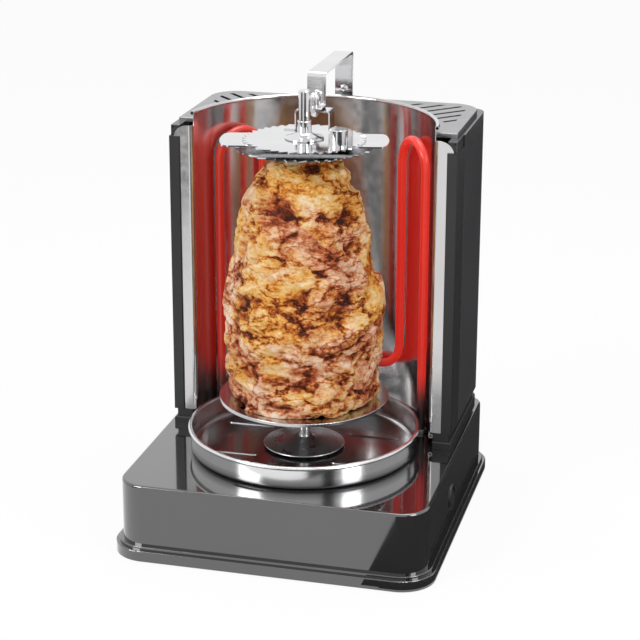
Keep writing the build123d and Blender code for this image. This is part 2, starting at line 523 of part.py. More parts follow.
def heater_element():
    """One tube: up, over and down on the right, low behind the spit, and the same on the left."""
    half = (LEG_INNER - LEG_OUTER) / 2
    bend = HEATER_R * math.sin(math.radians(half))
    crown_r = HEATER_R * math.cos(math.radians(half))
    crown_z, run_z, end_z = BASE_TOP + HEATER_RISE, BASE_TOP + RUN_RISE, BASE_TOP - COLD_END
    spring = crown_z - bend
    run_r = math.sqrt(HEATER_R ** 2 - RUN_BEND ** 2)
    turn = math.degrees(math.atan(RUN_BEND / run_r))
    low = run_z + RUN_BEND
    diag = RUN_BEND * math.sqrt(0.5)

    def leg(angle, z):
        return on_mirror(angle, HEATER_R, z)

    def corner(side):
        """Quarter bend from an inner leg into the low run, in the upright plane of the run's end."""
        leg_angle = LEG_INNER if side > 0 else 180 - LEG_INNER
        a = math.radians(leg_angle + side * turn)
        along = (-side * math.sin(a), side * math.cos(a))
        x, y, _ = leg(leg_angle, low)
        mid = (x + along[0] * (RUN_BEND - diag), y + along[1] * (RUN_BEND - diag), low - diag)
        return leg(leg_angle, low), mid, on_mirror(leg_angle + side * turn, run_r, run_z)

    right, left = corner(1), corner(-1)
    crown = (LEG_OUTER + LEG_INNER) / 2
    path = Wire([
        Line(leg(LEG_OUTER, end_z), leg(LEG_OUTER, spring)),
        ThreePointArc(leg(LEG_OUTER, spring), on_mirror(crown, crown_r, crown_z), leg(LEG_INNER, spring)),
        Line(leg(LEG_INNER, spring), right[0]),
        ThreePointArc(*right),
        ThreePointArc(right[2], on_mirror(90, run_r, run_z), left[2]),
        ThreePointArc(*reversed(left)),
        Line(left[0], leg(180 - LEG_INNER, spring)),
        ThreePointArc(leg(180 - LEG_INNER, spring), on_mirror(180 - crown, crown_r, crown_z),
                      leg(180 - LEG_OUTER, spring)),
        Line(leg(180 - LEG_OUTER, spring), leg(180 - LEG_OUTER, end_z)),
    ])
    tube = sweep(Plane(origin=path @ 0, z_dir=(0, 0, 1)) * Circle(TUBE_R), path=path)
    for side in SIGNS:
        tube += post(CONTACT_R, end_z - PIN_OUT, end_z + EPS, side * LEG_X, LEG_Y)
    return tube


def heater_ferrules():
    """Threaded ferrules that clamp the heater's two ends in the base's top."""
    pieces = []
    for side in SIGNS:
        nut = Pos(side * LEG_X, LEG_Y, BASE_TOP) * extrude(RegularPolygon(FERRULE_R, 6), FERRULE_H)
        nut = chamfer(top_edges(nut), 0.5)
        nut += post(FERRULE_R - 2, INNER_TOP - FERRULE_NECK, BASE_TOP + EPS, side * LEG_X, LEG_Y)
        pieces.append(nut - post(TUBE_R + SEAT, 0, TOWER_FOOT, side * LEG_X, LEG_Y))
    return Compound(children=pieces)


def heater_clip():
    """Spring clip that holds the low run off the mirror's rear wall."""
    run_r = math.sqrt(HEATER_R ** 2 - RUN_BEND ** 2)
    y = MIRROR_Y + run_r
    bore, outer = TUBE_R + SEAT, TUBE_R + SEAT + CLIP_T
    hook = extrude(Plane.YZ * (Circle(outer) - Circle(bore)), CLIP_W / 2, both=True)
    hook -= block(-CLIP_W, CLIP_W, -2 * outer, -CLIP_MOUTH, -outer, outer)
    tab = block(-CLIP_W / 2, CLIP_W / 2, bore + CLIP_T / 2, MIRROR_Y + MIRROR_IN - y - SEAT,
                -CLIP_T / 2, CLIP_T / 2)
    return Pos(0, y, BASE_TOP + RUN_RISE) * (hook + tab)


def arm_pocket():
    """Sheet pocket under the lid: the hanger's tongue drops into it and stands on its floor."""
    gap, wall = FREE, POCKET_T
    y0, y1 = ARM_BACK - ARM_T - gap, ARM_BACK + gap
    x, floor = ARM_W / 2 + gap, LID_TOP - TONGUE
    body = block(-x - wall, x + wall, y0 - wall, y1 + wall, floor - wall, LID_TOP - LID_T)
    body -= block(-x, x, y0, y1, floor, LID_TOP)
    low = floor + POCKET_EAR / 2
    ear = block(-x - POCKET_EAR, x + POCKET_EAR, y1, TOWER_BACK - SHEET, low, low + wall)
    return body + ear


def casing_screws():
    """Round-head screws in the rear wall: four at the corners of the panel."""
    head = Pos(0, SCREW_HEAD_T / 2, 0) * (Rot(90, 0, 0) * Cylinder(SCREW_HEAD_R, SCREW_HEAD_T))
    shank = Pos(0, -SCREW_BITE / 4, 0) * (Rot(90, 0, 0) * Cylinder(SCREW_R, SCREW_BITE / 2))
    return Compound(children=[Pos(x, TOWER_BACK, z) * (head + shank) for x, z in BACK_SCREWS])


# ------------------------------------------------------------------ spit
def drip_tray():
    """Round pan: rolled rim, upright wall, pressed ribs and a raised collar round its hole."""
    floor, wall = BASE_TOP, TRAY_BASE_R
    outer = turned([(0, floor), (wall, floor), (wall, TRAY_TOP), (0, TRAY_TOP)], SPIT_Y)
    outer = fillet(outer.edges().filter_by(GeomType.CIRCLE).sort_by(Axis.Z)[0], TRAY_FILLET)
    inner = turned([(0, floor + TRAY_T), (wall - TRAY_T, floor + TRAY_T),
                    (wall - TRAY_T, TRAY_TOP + 1), (0, TRAY_TOP + 1)], SPIT_Y)
    inner = fillet(inner.edges().filter_by(GeomType.CIRCLE).sort_by(Axis.Z)[0], TRAY_FILLET - TRAY_T)
    rim = Pos(0, SPIT_Y, TRAY_TOP - TRAY_RIM_R) * Torus(TRAY_R - TRAY_RIM_R, TRAY_RIM_R)
    body = outer - inner + rim
    for side_x in SIGNS:
        for side_y in SIGNS:
            x = side_x * (RIB_IN + RIB_OUT) / 2
            rib = extrude(SlotOverall(RIB_OUT - RIB_IN, RIB_W), RIB_H + EPS, taper=30)
            body += Pos(x, SPIT_Y + side_y * RIB_Y, floor + TRAY_T - EPS) * rib
    hole = BUSH_LIP_R + FREE
    body += post(hole + TRAY_T, floor, floor + TRAY_COLLAR_H, 0, SPIT_Y)
    return body - post(hole, floor - 1, floor + 5, 0, SPIT_Y)


def spit_rod():
    """Round rod with a square driving tip and a chamfered top."""
    rod = post(ROD_R, TRAY_FLOOR, ROD_TOP, 0, SPIT_Y)
    rod = chamfer(rod.edges().sort_by(Axis.Z)[-1], ROD_CHAMFER)
    half = TIP_SIDE / 2
    tip = block(-half, half, SPIT_Y - half, SPIT_Y + half, TIP_END, TRAY_FLOOR + EPS)
    return rod + chamfer(tip.faces().sort_by(Axis.Z)[0].edges(), 0.8)


def drip_cone():
    """Thin turned foot that covers the tray's hole."""
    t = CONE_T
    return turned([(ROD_R, CONE_TOP_Z - 2.4), (ROD_R + 6, CONE_TOP_Z - 3.4), (CONE_R, CONE_RIM_Z),
                   (CONE_R + 0.3, CONE_RIM_Z + t / 2), (CONE_R, CONE_RIM_Z + t),
                   (ROD_R + 5, CONE_TOP_Z - 1.4), (ROD_R + 2, CONE_TOP_Z), (ROD_R, CONE_TOP_Z)], SPIT_Y)


def meat_plate():
    """Round plate that carries the load, with its edge turned down."""
    low = DISH_TOP - DISH_LIP
    plate = turned([(ROD_R, DISH_TOP - DISH_T), (DISH_R - DISH_T, DISH_TOP - DISH_T),
                    (DISH_R - DISH_T, low), (DISH_R, low), (DISH_R, DISH_TOP), (ROD_R, DISH_TOP)], SPIT_Y)
    return fillet(plate.edges().filter_by(GeomType.CIRCLE).sort_by(Axis.Z)[-1:], 0.6)


def meat_load():
    """The stacked load: a lumpy turned body between the plate and the lower disc."""
    span = LOWER_DISC_Z - DISH_TOP
    outline = [(r, DISH_TOP + span * share) for r, share in MEAT_PROFILE]
    points = [(ROD_R, DISH_TOP), (outline[0][0] - 6, DISH_TOP)] + outline + [(ROD_R, LOWER_DISC_Z)]
    sketch = make_face([Spline(*outline), Line(outline[-1], points[-1]), Line(points[-1], points[0]),
                        Line(points[0], points[1]), Line(points[1], outline[0])])
    return Pos(0, SPIT_Y, 0) * revolve(Plane.XZ * sketch, Axis.Z)


def toothed(radius, low, hole):
    """A saw-toothed disc: each tooth leans the same way round."""
    points = []
    for i in range(TEETH):
        for share, r in ((0.0, radius), (0.12, radius), (0.88, radius - TOOTH_H)):
            a = 2 * math.pi * (i + share) / TEETH
            points.append((r * math.cos(a), r * math.sin(a)))
    face = make_face(Polyline(*points, close=True)) - Circle(hole)
    return Pos(0, SPIT_Y, low) * extrude(face, DISC_T)


def lock_collar():
    """Collar on the rod with a domed skirt that rides just over the upper disc."""
    low = UPPER_DISC_TOP + FREE
    return turned([(ROD_R, low), (DOME_R, low), (DOME_R, low + DOME_EDGE),
                   (DOME_R * 0.7, COLLAR_BOTTOM - 1.8), (COLLAR_R + 1.4, COLLAR_BOTTOM),
                   (COLLAR_R, COLLAR_BOTTOM + 1), (COLLAR_R, COLLAR_TOP - 0.7),
                   (COLLAR_R - 0.7, COLLAR_TOP), (ROD_R, COLLAR_TOP)], SPIT_Y)


# ------------------------------------------------------------------ hanger
def hanger_arm():
    """Bright strip folded to a hoop: foot, front leg, top run and the long rear tongue."""
    half = ARM_T / 2
    y_front, y_back = SPIT_Y + ARM_FRONT - half, ARM_BACK - half
    top = BRIDGE_TOP + ARM_RISE - half
    foot = BRIDGE_TOP + half
    path = [(0, PIN_Y - BRIDGE_D / 2 + 1, foot), (0, y_front, foot), (0, y_front, top),
            (0, y_back, top), (0, y_back, LID_TOP - TONGUE + SEAT)]
    arm = folded(path, (1, 0, 0), ARM_W, ARM_T, ARM_BEND)
    return arm - post(PIN_R + SEAT, foot - 3, foot + 3, 0, PIN_Y)


def arm_screw():
    """Round-head screw through the rear leg."""
    face = ARM_BACK - ARM_T
    head = Rot(90, 0, 0) * Cylinder(SCREW_HEAD_R, ARM_SCREW_H)
    head = fillet(head.edges().sort_by(Axis.Y)[0], 1.4)
    return Pos(0, face - ARM_SCREW_H / 2, LID_TOP + ARM_SCREW_RISE) * head


def bridge_bracket():
    """Folded bridge that stands on the upper disc and carries the pin."""
    half, x = BRIDGE_T / 2, BRIDGE_W / 2 - BRIDGE_T / 2
    low = UPPER_DISC_TOP + half
    path = [(-x - BRIDGE_FOOT, PIN_Y, low), (-x, PIN_Y, low), (-x, PIN_Y, BRIDGE_TOP - half),
            (x, PIN_Y, BRIDGE_TOP - half), (x, PIN_Y, low), (x + BRIDGE_FOOT, PIN_Y, low)]
    bridge = folded(path, (0, 1, 0), BRIDGE_D, BRIDGE_T, BRIDGE_BEND)
    return bridge - post(PIN_R + SEAT, BRIDGE_TOP - 4, BRIDGE_TOP + 1, 0, PIN_Y)


def guide_pin():
    """Bolt with a tall domed head, through the arm's foot and the bridge."""
    seat = BRIDGE_TOP + ARM_T
    head = post(PIN_HEAD_R, seat, seat + PIN_HEAD_H, 0, PIN_Y)
    head = fillet(head.edges().sort_by(Axis.Z)[-1], 3.4)
    return head + post(PIN_R, BRIDGE_TOP - BRIDGE_T - NUT_H - PIN_END, seat + EPS, 0, PIN_Y)


def pin_nut():
    """Hexagon nut under the bridge."""
    top = BRIDGE_TOP - BRIDGE_T
    nut = Pos(0, PIN_Y, top - NUT_H) * extrude(RegularPolygon(NUT_R, 6), NUT_H)
    return nut - post(PIN_R + SEAT, top - NUT_H - 1, top + 1, 0, PIN_Y)


def handle_bar():
    """Round-ended plate fixed under the upper disc; its two ends stand out as grips."""
    face = Circle(BAR_R) & Rectangle(2 * BAR_R, BAR_W)
    face = fillet(face.vertices(), BAR_CORNER) - Circle(BUSH_R)
    return Pos(0, SPIT_Y, UPPER_DISC_Z - BAR_T) * (Rot(0, 0, BAR_ANGLE) * extrude(face, BAR_T))


def top_bush():
    """Plain bush in the upper disc: the rod turns in it."""
    low, high = UPPER_DISC_Z - BUSH_DROP, UPPER_DISC_TOP
    return turned([(ROD_R + RUN, low), (BUSH_R, low), (BUSH_R, high), (ROD_R + RUN, high)], SPIT_Y)


def lift_knob():
    """Turned knob that stands on the upper disc."""
    knob = post(KNOB_R, UPPER_DISC_TOP, UPPER_DISC_TOP + KNOB_H, KNOB_X, SPIT_Y + KNOB_OFF)
    return chamfer(knob.edges().sort_by(Axis.Z)[-1], 0.8)


# ------------------------------------------------------------------ the assembly
for node, shape in {
    "base_housing": base_housing(),
    "base_plate": base_plate(),
    "rubber_feet": rubber_feet(),
    "base_screws": base_screws(),
    "drive_bush": drive_bush(),
    "drive_motor": drive_motor(),
    "motor_screws": motor_screws(),
    "drive_shaft": drive_shaft(),
    "drive_coupler": drive_coupler(),
    "switch_housing": switch_housing(),
    "switch_rocker": switch_rocker(),
    "cord_gland": cord_gland(),
    "terminal_block": terminal_block(),
    "thermal_cutout": thermal_cutout(),
    "tower_plinth": tower_plinth(),
    "tower_casing": tower_casing(),
    "top_plate": top_plate(),
    "reflector": reflector(),
    "post_right": side_post(),
    "post_left": mirror(side_post(), Plane.YZ),
    "post_caps": both_sides(post_cap()),
    "heater_element": heater_element(),
    "heater_ferrules": heater_ferrules(),
    "heater_clip": heater_clip(),
    "arm_pocket": arm_pocket(),
    "casing_screws": casing_screws(),
    "drip_tray": drip_tray(),
    "spit_rod": spit_rod(),
    "drip_cone": drip_cone(),
    "meat_plate": meat_plate(),
    "meat_load": meat_load(),
    "lower_disc": toothed(LOWER_DISC_R, LOWER_DISC_Z, ROD_R),
    "lock_collar": lock_collar(),
    "upper_disc": toothed(UPPER_DISC_R, UPPER_DISC_Z, BUSH_R),
    "handle_bar": handle_bar(),
    "top_bush": top_bush(),
    "lift_knob": lift_knob(),
    "bridge_bracket": bridge_bracket(),
    "guide_pin": guide_pin(),
    "pin_nut": pin_nut(),
    "hanger_arm": hanger_arm(),
    "arm_screw": arm_screw(),
}.items():
    save(node, shape)
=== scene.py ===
import math
import bpy
import bmesh
from mathutils import Matrix, Vector, noise


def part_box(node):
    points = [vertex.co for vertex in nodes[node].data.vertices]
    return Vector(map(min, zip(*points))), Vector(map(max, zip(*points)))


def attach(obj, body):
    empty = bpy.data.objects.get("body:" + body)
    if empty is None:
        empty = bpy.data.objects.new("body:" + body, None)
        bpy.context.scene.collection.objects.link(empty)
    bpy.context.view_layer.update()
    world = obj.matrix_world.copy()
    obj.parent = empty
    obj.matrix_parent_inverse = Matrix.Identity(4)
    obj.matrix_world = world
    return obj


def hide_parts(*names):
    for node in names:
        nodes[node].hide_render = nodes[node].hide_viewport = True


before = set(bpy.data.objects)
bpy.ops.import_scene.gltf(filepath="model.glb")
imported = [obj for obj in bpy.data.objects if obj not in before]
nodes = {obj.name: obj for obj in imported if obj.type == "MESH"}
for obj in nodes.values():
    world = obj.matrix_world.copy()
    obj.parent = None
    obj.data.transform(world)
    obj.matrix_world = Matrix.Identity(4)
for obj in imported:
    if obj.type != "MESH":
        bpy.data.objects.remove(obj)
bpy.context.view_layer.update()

# ------------------------------------------------------------------ the view
# The grill is looked at from a step away, a little from its right and from above the hoop,
# with a long lens, as a table appliance is photographed in a studio.
VIEW_YAW, VIEW_PITCH, VIEW_ROLL = 0.2514, 0.3110, 0.003
VIEW_PLACE = (0.41708, -1.58792, 0.74873)
LENS_MM, SENSOR_MM, LENS_SHIFT, SIGHT = 108.2, 36.0, -0.0625, 60.0
lens = bpy.data.cameras.new("view")
lens.lens, lens.sensor_width, lens.shift_y, lens.clip_end = LENS_MM, SENSOR_MM, LENS_SHIFT, SIGHT
view = bpy.data.objects.new("view", lens)
bpy.context.scene.collection.objects.link(view)
forward = Vector((-math.sin(VIEW_YAW) * math.cos(VIEW_PITCH),
                  math.cos(VIEW_YAW) * math.cos(VIEW_PITCH), -math.sin(VIEW_PITCH)))
across = Vector((math.cos(VIEW_YAW), math.sin(VIEW_YAW), 0))
upward = across.cross(forward)
tilted = across * math.cos(VIEW_ROLL) + upward * math.sin(VIEW_ROLL)
raised = upward * math.cos(VIEW_ROLL) - across * math.sin(VIEW_ROLL)
turned = Matrix((tilted, raised, -forward)).transposed().to_4x4()
view.matrix_world = Matrix.Translation(VIEW_PLACE) @ turned
bpy.context.scene.camera = view
bpy.context.scene.view_settings.view_transform = "Standard"

# ------------------------------------------------------------------ the studio
# A pale table runs on to a white backdrop. Soft boxes stand high on the left, high on the
# right and over the back. Dark cards, standing and lying, give bright metal its dark stripes
# and keep the gloss black from mirroring the pale room.
TABLE_WHITE, ROOM_LIGHT = 0.93, 0.42


def wire(tree, source, target):
    tree.links.new(source, target)


def shader_of(mat):
    return mat.node_tree.nodes["Principled BSDF"]


def ramped(mat, value, low, high, to_low=0.0, to_high=1.0, smooth=False):
    """A pattern brought from low..high to to_low..to_high, and held there past both ends."""
    tree = mat.node_tree
    ranged = tree.nodes.new("ShaderNodeMapRange")
    if smooth:
        ranged.interpolation_type = "SMOOTHSTEP"
    for key, number in (("From Min", low), ("From Max", high), ("To Min", to_low), ("To Max", to_high)):
        ranged.inputs[key].default_value = number
    wire(tree, value, ranged.inputs["Value"])
    return ranged.outputs[0]


def joined(mat, operation, first, second):
    """Two values put together by a Math node; the second may be a plain number."""
    tree = mat.node_tree
    step = tree.nodes.new("ShaderNodeMath")
    step.operation = operation
    wire(tree, first, step.inputs[0])
    if isinstance(second, float):
        step.inputs[1].default_value = second
    else:
        wire(tree, second, step.inputs[1])
    return step.outputs[0]


def seen_white(mat):
    """1 for what the view, a mirror or a window sees, 0 for the light that falls on things."""
    path = mat.node_tree.nodes.new("ShaderNodeLightPath")
    both = joined(mat, "MAXIMUM", path.outputs["Is Camera Ray"], path.outputs["Is Glossy Ray"])
    return joined(mat, "MAXIMUM", both, path.outputs["Is Transmission Ray"])


bpy.ops.mesh.primitive_circle_add(vertices=96, radius=9.0, fill_type="NGON", location=(0, 0, 0))
table = bpy.context.object
table.name = "table_top"
paper = bpy.data.materials.new("table_paper")
paper.use_nodes = True
lit = shader_of(paper)
lit.inputs["Base Color"].default_value = (0.80, 0.80, 0.80, 1)
lit.inputs["Roughness"].default_value = 0.9
lit.inputs["Specular IOR Level"].default_value = 0.1
tree = paper.node_tree
white = tree.nodes.new("ShaderNodeEmission")
white.inputs["Strength"].default_value = 1.0
blend = tree.nodes.new("ShaderNodeMixShader")
wire(tree, ramped(paper, seen_white(paper), 0.0, 1.0, 0.0, TABLE_WHITE), blend.inputs[0])
wire(tree, lit.outputs[0], blend.inputs[1])
wire(tree, white.outputs[0], blend.inputs[2])
wire(tree, blend.outputs[0], tree.nodes["Material Output"].inputs["Surface"])
table.data.materials.append(paper)

world = bpy.data.worlds.new("studio")
bpy.context.scene.world = world
world.use_nodes = True
ground = world.node_tree.nodes["Background"]
ground.inputs["Color"].default_value = (1, 1, 1, 1)
wire(world.node_tree, ramped(world, seen_white(world), 0.0, 1.0, ROOM_LIGHT, 1.0), ground.inputs["Strength"])


def soft_box(name, place, width, height, power):
    """A rectangular lamp that faces the middle of the grill."""
    lamp = bpy.data.lights.new(name, "AREA")
    lamp.shape, lamp.size, lamp.size_y, lamp.energy = "RECTANGLE", width, height, power
    box = bpy.data.objects.new(name, lamp)
    box.location = place
    box.rotation_euler = (Vector((0, 0, 0.2)) - Vector(place)).to_track_quat("-Z", "Y").to_euler()
    bpy.context.scene.collection.objects.link(box)


soft_box("box_left", (-1.3, -1.5, 1.4), 0.9, 1.2, 31)
soft_box("box_right", (1.7, -0.9, 1.2), 0.7, 1.2, 18)
soft_box("box_top", (0.1, 0.4, 1.9), 1.4, 1.0, 16)


def dark_card(name, place, width, height, shade, lying=False):
    """A dull card out of the picture, standing or lying, that bright metal mirrors as a dark stripe."""
    bpy.ops.mesh.primitive_plane_add(size=1)
    card = bpy.context.object
    card.name = name
    card.scale = (width, height, 1)
    card.rotation_euler = (0, 0, 0) if lying else (math.pi / 2, 0, math.atan2(-place[0], place[1]))
    card.location = place
    shaded_floor = bpy.data.materials.new(name)
    shaded_floor.use_nodes = True
    skin = shader_of(shaded_floor)
    skin.inputs["Base Color"].default_value = (shade, shade, shade, 1)
    skin.inputs["Roughness"].default_value = 1.0
    skin.inputs["Specular IOR Level"].default_value = 0.0
    card.data.materials.append(shaded_floor)
    card.visible_camera = card.visible_diffuse = card.visible_shadow = False


dark_card("card_left", (-1.9, -1.9, 1.1), 0.9, 2.2, 0.02)
dark_card("card_right", (1.5, -1.9, 1.1), 0.5, 2.2, 0.02)
dark_card("card_back_right", (0.62, 1.75, 0.60), 0.9, 1.1, 0.03)
dark_card("card_near_right", (0.71, -0.95, 0.004), 1.25, 1.7, 0.05, lying=True)
dark_card("card_near_left", (-0.95, -0.95, 0.004), 1.05, 1.7, 0.08, lying=True)
dark_card("card_side", (0.80, 0.70, 0.003), 1.4, 2.0, 0.04, lying=True)

# ------------------------------------------------------------------ the base
# One tub of black ABS, polished in the mould, so it mirrors the tower and the tray. The
# finishes of all plastic pieces are made here: fine dust and faint flow marks in each.
COAT_ROUGH = 0.03


def new_finish(name, colour, rough, metal=0.0, **sockets):
    """A finish with one shader; extra sockets are given by name with underscores."""
    mat = bpy.data.materials.new(name)
    mat.use_nodes = True
    shader = shader_of(mat)
    shader.inputs["Base Color"].default_value = (*colour, 1)
    shader.inputs["Roughness"].default_value = rough
    shader.inputs["Metallic"].default_value = metal
    for socket, value in sockets.items():
        shader.inputs[socket.replace("_", " ")].default_value = value
    return mat


def own_place(mat, stretch=(1, 1, 1), shift=(0, 0, 0)):
    """A point on the piece, in its own axes, stretched and then shifted."""
    tree = mat.node_tree
    place = tree.nodes.new("ShaderNodeTexCoord")
    mapping = tree.nodes.new("ShaderNodeMapping")
    mapping.inputs["Scale"].default_value = stretch
    mapping.inputs["Location"].default_value = shift
    wire(tree, place.outputs["Object"], mapping.inputs["Vector"])
    return mapping.outputs["Vector"]


def grain(mat, scale, detail=4.0, stretch=(1, 1, 1), shift=(0, 0, 0), rough=0.55, swirl=0.0):
    """Noise on the piece's own coordinates, stretched along its axes."""
    noise_node = mat.node_tree.nodes.new("ShaderNodeTexNoise")
    for key, number in (("Scale", scale), ("Detail", detail), ("Roughness", rough), ("Distortion", swirl)):
        noise_node.inputs[key].default_value = number
    wire(mat.node_tree, own_place(mat, stretch, shift), noise_node.inputs["Vector"])
    return noise_node.outputs["Fac"]


def spread(mat, value, socket, low, high, start=0.3, end=0.7):
    """Lets a pattern move a shader's socket between two values."""
    wire(mat.node_tree, ramped(mat, value, start, end, low, high), shader_of(mat).inputs[socket])


def coloured(mat, value, stops):
    """Colours along a pattern, as (place, (r, g, b)) stops."""
    ramp = mat.node_tree.nodes.new("ShaderNodeValToRGB")
    ramp.color_ramp.elements.remove(ramp.color_ramp.elements[1])
    for i, (place, colour) in enumerate(stops):
        stop = ramp.color_ramp.elements[0] if i == 0 else ramp.color_ramp.elements.new(place)
        stop.position = place
        stop.color = (*colour, 1)
    wire(mat.node_tree, value, ramp.inputs["Fac"])
    return ramp.outputs["Color"]


def tinted(mat, value, stops):
    """Gives the finish its colour from a pattern."""
    wire(mat.node_tree, coloured(mat, value, stops), shader_of(mat).inputs["Base Color"])


def embossed(mat, value, depth, strength=1.0):
    """Bump from a pattern, depth in metres; calls add up."""
    tree, shader = mat.node_tree, shader_of(mat)
    bump = tree.nodes.new("ShaderNodeBump")
    bump.inputs["Distance"].default_value = depth
    bump.inputs["Strength"].default_value = strength
    wire(tree, value, bump.inputs["Height"])
    if shader.inputs["Normal"].links:
        wire(tree, shader.inputs["Normal"].links[0].from_socket, bump.inputs["Normal"])
    wire(tree, bump.outputs["Normal"], shader.inputs["Normal"])


def plastic(name, colour, rough, dust, skin_scale, skin_depth, coat=0.0, index=1.5):
    """Moulded plastic: faint clouding in its colour, fine dust in its gloss, flow in its skin."""
    mat = new_finish(name, colour, rough, Coat_Weight=coat, Coat_Roughness=COAT_ROUGH, IOR=index)
    tinted(mat, grain(mat, 9.0), [(0.3, tuple(c * 0.88 for c in colour)), (0.7, tuple(c * 1.14 for c in colour))])
    spread(mat, grain(mat, 260.0, detail=8), "Roughness", rough, rough + dust, start=0.45, end=0.8)
    embossed(mat, grain(mat, skin_scale), skin_depth, 0.4)
    return mat


def dress(mat, *names):
    """Gives carried-over pieces their finish."""
    for name in names:
        mesh = nodes[name].data
        mesh.materials.clear()
        mesh.materials.append(mat)


gloss_black = plastic("gloss_black", (0.014, 0.014, 0.015), 0.08, 0.05, 6.0, 0.00005, coat=1.0, index=1.95)
matte_black = plastic("matte_black", (0.018, 0.018, 0.019), 0.34, 0.14, 900.0, 0.00002)
soft_rubber = plastic("soft_rubber", (0.022, 0.022, 0.022), 0.70, 0.12, 700.0, 0.00005)
bush_nylon = plastic("bush_nylon", (0.62, 0.60, 0.54), 0.42, 0.10, 300.0, 0.00003)
fired_clay = plastic("fired_clay", (0.74, 0.73, 0.69), 0.60, 0.15, 420.0, 0.00006)
dress(gloss_black, "base_housing")
dress(matte_black, "switch_housing", "switch_rocker", "cord_gland", "tower_plinth",
      "post_right", "post_left", "post_caps")
dress(soft_rubber, "rubber_feet")
dress(bush_nylon, "drive_bush", "top_bush")
dress(fired_clay, "terminal_block")

# ------------------------------------------------------------------ plated and pressed steel
# Zinc-plated and turned pieces inside and under the base: the plate, motor, shaft, coupler,
# ferrules, clip and pocket. Their plating is cloudy and takes fine handling scratches.


def metal(name, colour, rough, clouding, scratch, depth=0.00001):
    """Bare or plated metal: cloudy tint, uneven gloss and fine scratches along one way."""
    mat = new_finish(name, colour, rough, metal=1.0)
    tinted(mat, grain(mat, 30.0), [(0.3, tuple(c * (1 - clouding) for c in colour)), (0.7, colour)])
    lines = grain(mat, 60.0, detail=6, stretch=scratch)
    spread(mat, lines, "Roughness", rough * 0.75, rough * 1.4)
    embossed(mat, lines, depth, 0.5)
    return mat


zinc = metal("zinc", (0.55, 0.55, 0.53), 0.34, 0.2, (1, 1, 9), 0.00002)
dress(zinc, "base_plate", "drive_motor", "motor_screws", "drive_shaft", "drive_coupler",
      "thermal_cutout", "heater_ferrules", "heater_clip", "arm_pocket")

# ------------------------------------------------------------------ the casing and the lid
# The casing is folded sheet with a baked black paint. The lid is brushed stainless sheet,
# its grain running from side to side.
casing_paint = plastic("casing_paint", (0.047, 0.047, 0.050), 0.15, 0.02, 12.0, 0.00003)
dress(casing_paint, "tower_casing")
lid_steel = metal("lid_steel", (0.38, 0.38, 0.39), 0.30, 0.12, (0.6, 24, 24), 0.00002)
dress(lid_steel, "top_plate")

# ------------------------------------------------------------------ the mirror
# Bright-annealed sheet, rolled to a half round. It is mirror-like with slight upright waves
# from the rolls, and it has turned faintly straw-coloured in patches from the heat.
mirror_sheet = new_finish("mirror_sheet", (0.66, 0.66, 0.67), 0.16, metal=1.0, Anisotropic=0.9,
                          Anisotropic_Rotation=0.25)
round_it = mirror_sheet.node_tree.nodes.new("ShaderNodeTangent")
round_it.direction_type, round_it.axis = "RADIAL", "Z"
wire(mirror_sheet.node_tree, round_it.outputs[0], shader_of(mirror_sheet).inputs["Tangent"])
tinted(mirror_sheet, grain(mirror_sheet, 7.0), [(0.25, (0.60, 0.58, 0.57)), (0.75, (0.69, 0.69, 0.70))])
spread(mirror_sheet, grain(mirror_sheet, 120.0, detail=7), "Roughness", 0.12, 0.20)
embossed(mirror_sheet, grain(mirror_sheet, 12.0, detail=2, stretch=(1, 1, 0.12)), 0.0006, 0.5)
dress(mirror_sheet, "reflector")

# ------------------------------------------------------------------ the heater
# One steel tube filled with powder round a coil. It glows orange-red over its hot length,
# more on the right, and its two cold ends, which go down through the ferrules, stay dark.
HOT_FROM, HOT_FULL, GLOW = 0.098, 0.128, 0.50
DIM_SIDE, BRIGHT_SIDE, DIM = -0.085, 0.02, 0.42


def along(mat, axis):
    """The place along one of the piece's own axes, in metres."""
    split = mat.node_tree.nodes.new("ShaderNodeSeparateXYZ")
    wire(mat.node_tree, own_place(mat), split.inputs[0])
    return split.outputs[axis]


glowing_tube = new_finish("glowing_tube", (0.55, 0.03, 0.015), 0.34, Coat_Weight=0.4, Coat_Roughness=0.12)
height = along(glowing_tube, "Z")
# The red base colour over the hot length is painted glow: the tube's steel is dark, and the red stands in for its
# light.
tinted(glowing_tube, ramped(glowing_tube, height, HOT_FROM - 0.012, HOT_FULL),
       [(0.0, (0.045, 0.034, 0.032)), (0.5, (0.20, 0.020, 0.012)), (1.0, (0.55, 0.030, 0.015))])
heat = coloured(glowing_tube, grain(glowing_tube, 16.0, stretch=(1, 1, 0.5)),
                [(0.25, (0.80, 0.012, 0.008)), (0.8, (1.0, 0.035, 0.022))])
wire(glowing_tube.node_tree, heat, shader_of(glowing_tube).inputs["Emission Color"])
glow = joined(glowing_tube, "MULTIPLY", ramped(glowing_tube, height, HOT_FROM, HOT_FULL, 0.0, GLOW, smooth=True),
              ramped(glowing_tube, along(glowing_tube, "X"), DIM_SIDE, BRIGHT_SIDE, DIM, 1.0, smooth=True))
wire(glowing_tube.node_tree, glow, shader_of(glowing_tube).inputs["Emission Strength"])
embossed(glowing_tube, grain(glowing_tube, 420.0, detail=5), 0.00005, 0.5)
dress(glowing_tube, "heater_element")

# ------------------------------------------------------------------ tray, plate and spit
# The tray and the plate are spun from stainless sheet, with circular marks round the spit's axis;
# their floors are painted darker than their walls, as painted shade. The rod and collar are
# turned and polished, the cone is turned and left satin, and the discs are stamped and polished.
SPIT_Y = sum(corner.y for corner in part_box("spit_rod")) / 2
FLOOR_TOP, WALL_FOOT = 0.003, 0.010


